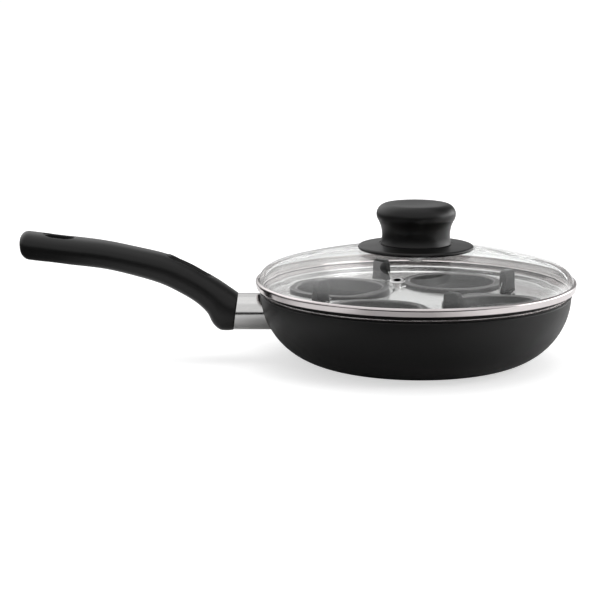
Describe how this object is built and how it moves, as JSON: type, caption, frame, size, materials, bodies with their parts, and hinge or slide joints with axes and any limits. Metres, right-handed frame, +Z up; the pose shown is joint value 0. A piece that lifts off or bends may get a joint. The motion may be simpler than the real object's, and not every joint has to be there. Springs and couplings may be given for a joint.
{
  "type": "egg poacher pan",
  "caption": "Lidded frying pan whose steel tray holds lift-out egg cups over simmering water, with a domed glass lid and a long moulded handle.",
  "frame": {"origin": "centre of the flat base, on the surface that the pan stands on", "axes": "+Z up along the axis of the pan and lid; the handle points along -X"},
  "size_m": [0.3632, 0.21, 0.1039],
  "materials": {
    "pan_coating": "satin speckled non-stick outside and inside, bare turned aluminium underneath",
    "bracket_metal": "brushed",
    "polished_steel": "polished stainless steel",
    "tray_steel": "bright rolled stainless steel",
    "rim_steel": "rolled stainless steel",
    "phenolic": "satin moulded phenolic",
    "cup_coating": "dark grey non-stick",
    "grip_plastic": "satin moulded",
    "clear_glass": "clear tempered",
    "silicone": "matt",
    "brass": "turned",
    "zinc_steel": "bright zinc plated"
  },
  "bodies": {
    "pan": {"pan_body": "pan_coating", "handle_bracket": "bracket_metal", "flame_guard": "polished_steel", "handle_grip": "phenolic", "handle_washer": "zinc_steel", "handle_screw": "zinc_steel"},
    "tray": {"poacher_tray": "tray_steel"},
    "cup_1": {"egg_cup_1": "cup_coating", "cup_strap_1": "polished_steel", "cup_grip_1": "grip_plastic"},
    "cup_2": {"egg_cup_2": "cup_coating", "cup_strap_2": "polished_steel", "cup_grip_2": "grip_plastic"},
    "cup_3": {"egg_cup_3": "cup_coating", "cup_strap_3": "polished_steel", "cup_grip_3": "grip_plastic"},
    "cup_4": {"egg_cup_4": "cup_coating", "cup_strap_4": "polished_steel", "cup_grip_4": "grip_plastic"},
    "lid": {"lid_glass": "clear_glass", "lid_rim": "rim_steel", "steam_vent": "polished_steel", "knob_gasket": "silicone", "glass_gasket": "silicone", "knob_disc": "phenolic", "knob_grip": "phenolic", "knob_insert": "brass", "knob_washer": "zinc_steel", "knob_screw": "zinc_steel"}
  },
  "joints": [
    {"name": "tray_lift", "type": "slide", "parent": "pan", "child": "tray", "axis": [0, 0, 1], "range_m": [0, 0.1]},
    {"name": "lid_lift", "type": "slide", "parent": "tray", "child": "lid", "axis": [0, 0, 1], "range_m": [0, 0.12]},
    {"name": "cup_lift_1", "type": "slide", "parent": "tray", "child": "cup_1", "axis": [0, 0, 1], "range_m": [0, 0.048]},
    {"name": "cup_lift_2", "type": "slide", "parent": "tray", "child": "cup_2", "axis": [0, 0, 1], "range_m": [0, 0.048]},
    {"name": "cup_lift_3", "type": "slide", "parent": "tray", "child": "cup_3", "axis": [0, 0, 1], "range_m": [0, 0.048]},
    {"name": "cup_lift_4", "type": "slide", "parent": "tray", "child": "cup_4", "axis": [0, 0, 1], "range_m": [0, 0.048]}
  ],
  "couplings": [
    {"joint": "cup_lift_1", "follows": "lid_lift", "ratio": 0.4},
    {"joint": "cup_lift_2", "follows": "lid_lift", "ratio": 0.4},
    {"joint": "cup_lift_3", "follows": "lid_lift", "ratio": 0.4},
    {"joint": "cup_lift_4", "follows": "lid_lift", "ratio": 0.4}
  ]
}
